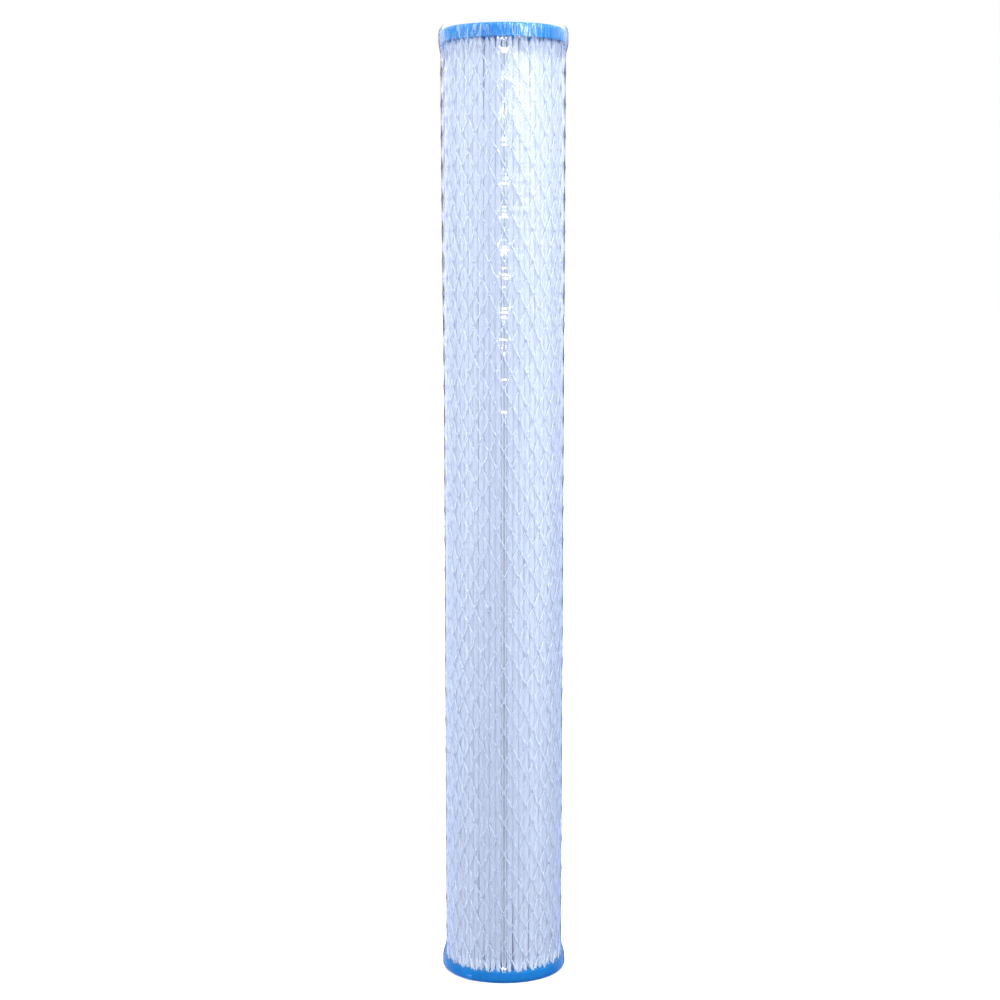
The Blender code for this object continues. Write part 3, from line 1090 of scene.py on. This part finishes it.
def studio_world():
    """A surround that looks white, but lights and reflects as a dome, dimmer below, with two dark flags."""
    world = bpy.data.worlds.new("studio_surround")
    world.use_nodes = True
    tree = world.node_tree
    tree.nodes.clear()
    output = tree.nodes.new("ShaderNodeOutputWorld")
    direction = tree.nodes.new("ShaderNodeTexCoord")
    parts = add_node(tree, "ShaderNodeSeparateXYZ", None, {"Vector": direction.outputs["Generated"]})
    upward = add_node(
        tree,
        "ShaderNodeMapRange",
        {"interpolation_type": "SMOOTHSTEP"},
        {"Value": parts.outputs["Z"], "From Min": -0.3, "From Max": 0.35},
    )
    dome = add_node(tree, "ShaderNodeMix", {"data_type": "RGBA"}, {"Factor": upward.outputs[0]})
    dome.inputs[6].default_value = (0.20, 0.25, 0.45, 1.0)
    dome.inputs[7].default_value = (0.92, 0.95, 1.00, 1.0)
    # The flags stand behind the cartridge, so only the film's outermost edges mirror them
    sideways = add_node(tree, "ShaderNodeMath", {"operation": "ABSOLUTE"}, {0: parts.outputs["X"]})
    inner = add_node(
        tree, "ShaderNodeMapRange", None, {"Value": sideways.outputs[0], "From Min": 0.02, "From Max": 0.06}
    )
    outer = add_node(
        tree, "ShaderNodeMapRange", None, {"Value": sideways.outputs[0], "From Min": 0.44, "From Max": 0.30}
    )
    behind = add_node(
        tree, "ShaderNodeMapRange", None, {"Value": parts.outputs["Y"], "From Min": 0.3, "From Max": 0.5}
    )
    between = add_node(
        tree, "ShaderNodeMath", {"operation": "MULTIPLY"}, {0: inner.outputs[0], 1: outer.outputs[0]}
    )
    flag = add_node(
        tree, "ShaderNodeMath", {"operation": "MULTIPLY"}, {0: between.outputs[0], 1: behind.outputs[0]}
    )
    right = add_node(
        tree, "ShaderNodeMapRange", None, {"Value": parts.outputs["X"], "From Min": -0.01, "From Max": 0.01}
    )
    cloth = add_node(tree, "ShaderNodeMix", {"data_type": "RGBA"}, {"Factor": right.outputs[0]})
    cloth.inputs[6].default_value = (0.07, 0.045, 0.055, 1.0)
    cloth.inputs[7].default_value = (0.015, 0.04, 0.06, 1.0)
    shade = add_node(
        tree,
        "ShaderNodeMix",
        {"data_type": "RGBA"},
        {"Factor": flag.outputs[0], 6: dome.outputs[2], 7: cloth.outputs[2]},
    )
    # The lamps stand in front, so the surround is brighter behind
    strength = add_node(
        tree,
        "ShaderNodeMapRange",
        {"interpolation_type": "SMOOTHSTEP"},
        {"Value": parts.outputs["Y"], "From Min": 0.1, "From Max": 0.9, "To Min": 1.82, "To Max": 3.6},
    )
    surround = add_node(
        tree, "ShaderNodeBackground", None, {"Color": shade.outputs[2], "Strength": strength.outputs[0]}
    )
    backdrop = add_node(
        tree, "ShaderNodeBackground", None, {"Color": (1.0, 1.0, 1.0, 1.0), "Strength": 1.0}
    )
    path = tree.nodes.new("ShaderNodeLightPath")
    seen = add_node(
        tree,
        "ShaderNodeMixShader",
        None,
        {0: path.outputs["Is Camera Ray"], 1: surround.outputs[0], 2: backdrop.outputs[0]},
    )
    tree.links.new(seen.outputs[0], output.inputs["Surface"])
    return world


class CARTRIDGE_OT_studio(bpy.types.Operator):
    """Set up the pale floor, the soft lights and the camera"""

    bl_idname = "cartridge.studio"
    bl_label = "Studio"

    def execute(self, context):
        scene = context.scene
        settings = scene.cartridge_studio
        scene.world = studio_world()
        scene.view_settings.view_transform = "Standard"
        floor_half_width = 30.0
        ground = bmesh.new()
        bmesh.ops.create_grid(ground, x_segments=8, y_segments=8, size=floor_half_width)
        mesh = bpy.data.meshes.new("studio_floor")
        ground.to_mesh(mesh)
        ground.free()
        mesh.materials.append(studio_vinyl(scene.cartridge_colours.floor))
        floor = bpy.data.objects.new("studio_floor", mesh)
        scene.collection.objects.link(floor)
        floor.visible_diffuse = False
        floor.visible_glossy = False

        shoulder = (0.0, 0.0, 0.42)
        upper_body = (0.0, 0.0, 0.36)
        area_light("key", (0.58, -0.76, 0.88), shoulder, 0.9, 12.5, (1.0, 0.99, 0.97))
        area_light("fill", (-0.95, -0.55, 0.62), shoulder, 1.2, 9.2, (1.0, 0.98, 0.96))
        area_light("flash", (0.0, -1.20, 0.445), upper_body, 0.016, 2.2, (0.98, 0.99, 1.0))

        camera = bpy.data.cameras.new("camera")
        camera.lens = settings.lens
        camera.sensor_width = 36.0
        camera.dof.use_dof = False
        seat = bpy.data.objects.new("camera", camera)
        seat.location = (settings.camera_aside, -settings.camera_distance, settings.camera_height)
        seat.rotation_euler = (math.pi / 2 - settings.camera_pitch, 0.0, 0.0)
        scene.collection.objects.link(seat)
        scene.camera = seat
        return {"FINISHED"}


class CARTRIDGE_PT_panel(bpy.types.Panel):
    """Lists the cartridge's pieces in the sidebar"""

    bl_idname = "CARTRIDGE_PT_panel"
    bl_label = "Filter Cartridge"
    bl_space_type = "VIEW_3D"
    bl_region_type = "UI"
    bl_category = "Cartridge"

    def draw(self, context):
        scene = context.scene
        for settings in (scene.cartridge_sizes, scene.cartridge_colours, scene.cartridge_studio):
            box = self.layout.box()
            for name in settings.__annotations__:
                box.prop(settings, name)
        for operator in OPERATORS:
            self.layout.operator(operator.bl_idname)


SETTINGS = {
    "cartridge_sizes": CartridgeSizes,
    "cartridge_colours": CartridgeColours,
    "cartridge_studio": StudioSettings,
}
OPERATORS = (
    CARTRIDGE_OT_end_caps,
    CARTRIDGE_OT_core,
    CARTRIDGE_OT_pleated_fabric,
    CARTRIDGE_OT_seam_strip,
    CARTRIDGE_OT_netting,
    CARTRIDGE_OT_shrink_film,
    CARTRIDGE_OT_studio,
)


def register():
    """Registers the settings, the operators and the panel."""
    for name, group in SETTINGS.items():
        bpy.utils.register_class(group)
        setattr(bpy.types.Scene, name, bpy.props.PointerProperty(type=group))
    for made in (*OPERATORS, CARTRIDGE_PT_panel):
        bpy.utils.register_class(made)


def unregister():
    """Takes away what register() added."""
    for made in (CARTRIDGE_PT_panel, *reversed(OPERATORS)):
        bpy.utils.unregister_class(made)
    for name, group in SETTINGS.items():
        delattr(bpy.types.Scene, name)
        bpy.utils.unregister_class(group)


def main():
    """Makes every piece and the studio."""
    register()
    for operator in OPERATORS:
        group, name = operator.bl_idname.split(".")
        getattr(getattr(bpy.ops, group), name)()


if __name__ == "__main__":
    main()
